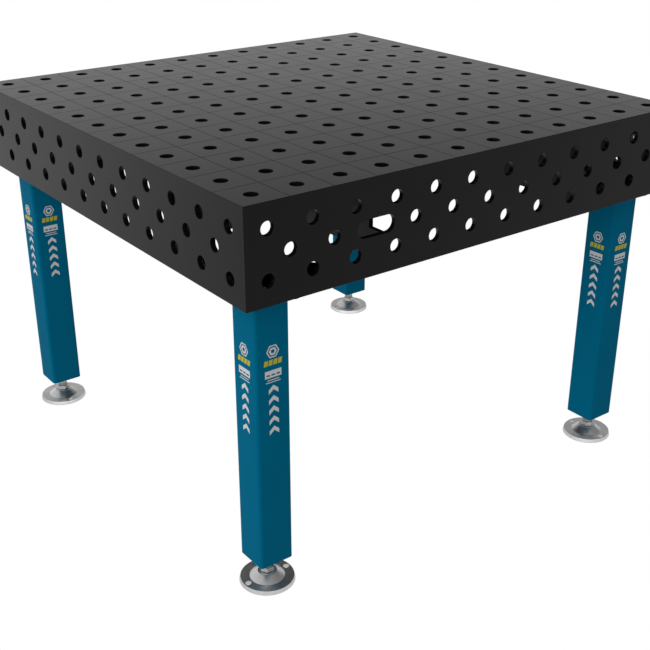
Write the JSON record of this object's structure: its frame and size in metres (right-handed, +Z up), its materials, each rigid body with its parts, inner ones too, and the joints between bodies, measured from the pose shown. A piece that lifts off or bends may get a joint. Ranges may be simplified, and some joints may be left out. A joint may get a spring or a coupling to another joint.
{
  "type": "welding table",
  "caption": "Square welding table: ribbed steel box top with a grid of system holes, on four square bolted legs with swivelling screw feet.",
  "frame": {"origin": "on the floor, under the middle of the table", "axes": "+Z up, the front with the hand slot is -Y, +X to the right seen from the front"},
  "size_m": [1.2, 1.2, 0.88],
  "materials": {
    "table_steel": "nitrided, matt dark grey",
    "leg_paint": "smooth petrol-blue powder coat",
    "bright_zinc": "bright turned and plated steel",
    "black_fastener": "black oxide",
    "seat_bronze": "plain turned"
  },
  "bodies": {
    "table": {"top_plate": "table_steel", "front_plate": "table_steel", "back_plate": "table_steel", "left_plate": "table_steel", "right_plate": "table_steel", "rib_front": "table_steel", "rib_back": "table_steel", "rib_left": "table_steel", "rib_right": "table_steel", "corner_plate_front_left": "table_steel", "leg_flange_front_left": "leg_paint", "leg_tube_front_left": "leg_paint", "leg_end_plate_front_left": "leg_paint", "corner_plate_front_right": "table_steel", "leg_flange_front_right": "leg_paint", "leg_tube_front_right": "leg_paint", "leg_end_plate_front_right": "leg_paint", "corner_plate_back_left": "table_steel", "leg_flange_back_left": "leg_paint", "leg_tube_back_left": "leg_paint", "leg_end_plate_back_left": "leg_paint", "corner_plate_back_right": "table_steel", "leg_flange_back_right": "leg_paint", "leg_tube_back_right": "leg_paint", "leg_end_plate_back_right": "leg_paint", "flange_bolts": "black_fastener", "flange_washers": "black_fastener", "flange_nuts": "black_fastener", "spindle_nuts": "black_fastener"},
    "carrier_front_left": {"thrust_cup_front_left": "seat_bronze"},
    "spindle_front_left": {"foot_spindle_front_left": "bright_zinc"},
    "pad_front_left": {"foot_pad_front_left": "bright_zinc", "retaining_ring_front_left": "black_fastener"},
    "carrier_front_right": {"thrust_cup_front_right": "seat_bronze"},
    "spindle_front_right": {"foot_spindle_front_right": "bright_zinc"},
    "pad_front_right": {"foot_pad_front_right": "bright_zinc", "retaining_ring_front_right": "black_fastener"},
    "carrier_back_left": {"thrust_cup_back_left": "seat_bronze"},
    "spindle_back_left": {"foot_spindle_back_left": "bright_zinc"},
    "pad_back_left": {"foot_pad_back_left": "bright_zinc", "retaining_ring_back_left": "black_fastener"},
    "carrier_back_right": {"thrust_cup_back_right": "seat_bronze"},
    "spindle_back_right": {"foot_spindle_back_right": "bright_zinc"},
    "pad_back_right": {"foot_pad_back_right": "bright_zinc", "retaining_ring_back_right": "black_fastener"}
  },
  "joints": [
    {"name": "height_front_left", "type": "slide", "parent": "table", "child": "carrier_front_left", "axis": [0, 0, -1], "range_m": [-0.025, 0.03]},
    {"name": "screw_front_left", "type": "hinge", "parent": "carrier_front_left", "child": "spindle_front_left", "pos_m": [-0.513, -0.513, 0.0176], "axis": [0, 0, -1], "range_deg": [-3000, 3600]},
    {"name": "tilt_front_left", "type": "hinge", "parent": "carrier_front_left", "child": "pad_front_left", "pos_m": [-0.513, -0.513, 0.0176], "axis": [1, 0, 0], "range_deg": [-5, 5]},
    {"name": "height_front_right", "type": "slide", "parent": "table", "child": "carrier_front_right", "axis": [0, 0, -1], "range_m": [-0.025, 0.03]},
    {"name": "screw_front_right", "type": "hinge", "parent": "carrier_front_right", "child": "spindle_front_right", "pos_m": [0.513, -0.513, 0.0176], "axis": [0, 0, -1], "range_deg": [-3000, 3600]},
    {"name": "tilt_front_right", "type": "hinge", "parent": "carrier_front_right", "child": "pad_front_right", "pos_m": [0.513, -0.513, 0.0176], "axis": [1, 0, 0], "range_deg": [-5, 5]},
    {"name": "height_back_left", "type": "slide", "parent": "table", "child": "carrier_back_left", "axis": [0, 0, -1], "range_m": [-0.025, 0.03]},
    {"name": "screw_back_left", "type": "hinge", "parent": "carrier_back_left", "child": "spindle_back_left", "pos_m": [-0.513, 0.513, 0.0176], "axis": [0, 0, -1], "range_deg": [-3000, 3600]},
    {"name": "tilt_back_left", "type": "hinge", "parent": "carrier_back_left", "child": "pad_back_left", "pos_m": [-0.513, 0.513, 0.0176], "axis": [1, 0, 0], "range_deg": [-5, 5]},
    {"name": "height_back_right", "type": "slide", "parent": "table", "child": "carrier_back_right", "axis": [0, 0, -1], "range_m": [-0.025, 0.03]},
    {"name": "screw_back_right", "type": "hinge", "parent": "carrier_back_right", "child": "spindle_back_right", "pos_m": [0.513, 0.513, 0.0176], "axis": [0, 0, -1], "range_deg": [-3000, 3600]},
    {"name": "tilt_back_right", "type": "hinge", "parent": "carrier_back_right", "child": "pad_back_right", "pos_m": [0.513, 0.513, 0.0176], "axis": [1, 0, 0], "range_deg": [-5, 5]}
  ],
  "couplings": [
    {"joint": "screw_front_left", "follows": "height_front_left", "rad_per_m": 2094.4},
    {"joint": "screw_front_right", "follows": "height_front_right", "rad_per_m": 2094.4},
    {"joint": "screw_back_left", "follows": "height_back_left", "rad_per_m": 2094.4},
    {"joint": "screw_back_right", "follows": "height_back_right", "rad_per_m": 2094.4}
  ]
}
